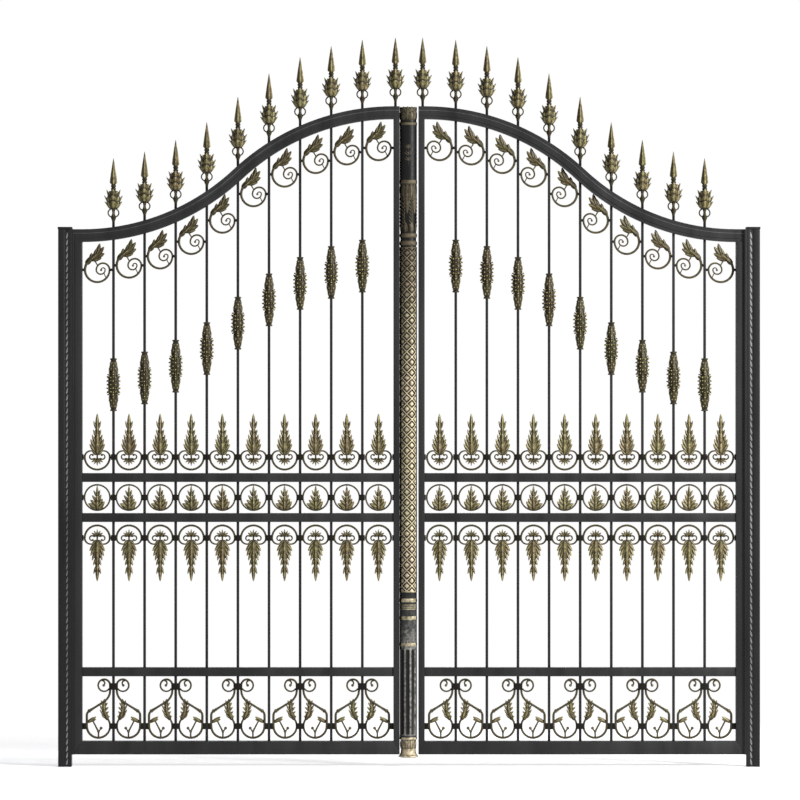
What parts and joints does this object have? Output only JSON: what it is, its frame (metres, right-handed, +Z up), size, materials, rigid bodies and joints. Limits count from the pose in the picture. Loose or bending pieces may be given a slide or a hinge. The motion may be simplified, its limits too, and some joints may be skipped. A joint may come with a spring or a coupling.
{
  "type": "wrought iron driveway gate",
  "caption": "Double-leaf wrought iron driveway gate with an S-curved top, spear finials, scroll panels, a round centre column and two square hinge posts; both leaves swing inward.",
  "frame": {"origin": "centre of the left post's flat foot, on the ground", "axes": "+X from the left post to the right post, +Y from the front to the back, into the drive, +Z up"},
  "size_m": [3.1585, 0.0935, 3.28],
  "materials": {
    "post_iron": "satin black paint",
    "frame_iron": "satin charcoal paint",
    "bar_iron": "satin black paint",
    "hinge_steel": "satin black paint, worn bright at the knuckles",
    "casting_gold": "antique gold rubbed over black",
    "column_bronze": "bronze patina rubbed over black"
  },
  "bodies": {
    "posts": {"left_post": "post_iron", "right_post": "post_iron", "left_post_cap": "post_iron", "right_post_cap": "post_iron", "left_post_lip": "post_iron", "right_post_lip": "post_iron", "left_hinge_pins": "hinge_steel", "right_hinge_pins": "hinge_steel"},
    "left_leaf": {"left_hinge_knuckles": "hinge_steel", "left_hinge_stile": "frame_iron", "left_meeting_stile": "frame_iron", "left_top_rail": "frame_iron", "left_upper_rail": "frame_iron", "left_middle_rail": "frame_iron", "left_kick_rail": "frame_iron", "left_bottom_rail": "frame_iron", "left_bars": "bar_iron", "left_spears": "casting_gold", "left_baskets": "casting_gold", "left_leaf_scrolls": "casting_gold", "left_crest_finials": "casting_gold", "left_rings": "casting_gold", "left_pendant_finials": "casting_gold", "left_kick_scrolls": "casting_gold", "column_tube": "column_bronze", "column_capital": "column_bronze", "column_lattice": "column_bronze", "column_rings": "column_bronze", "column_base": "column_bronze"},
    "right_leaf": {"right_hinge_knuckles": "hinge_steel", "right_hinge_stile": "frame_iron", "right_meeting_stile": "frame_iron", "right_top_rail": "frame_iron", "right_upper_rail": "frame_iron", "right_middle_rail": "frame_iron", "right_kick_rail": "frame_iron", "right_bottom_rail": "frame_iron", "right_bars": "bar_iron", "right_spears": "casting_gold", "right_baskets": "casting_gold", "right_leaf_scrolls": "casting_gold", "right_crest_finials": "casting_gold", "right_rings": "casting_gold", "right_pendant_finials": "casting_gold", "right_kick_scrolls": "casting_gold"}
  },
  "joints": [
    {"name": "left_leaf_hinge", "type": "hinge", "parent": "posts", "child": "left_leaf", "pos_m": [0.0335, 0.042, 1.15], "axis": [0, 0, 1], "range_deg": [0, 90]},
    {"name": "right_leaf_hinge", "type": "hinge", "parent": "posts", "child": "right_leaf", "pos_m": [3.061, 0.042, 1.15], "axis": [0, 0, -1], "range_deg": [0, 90]}
  ]
}
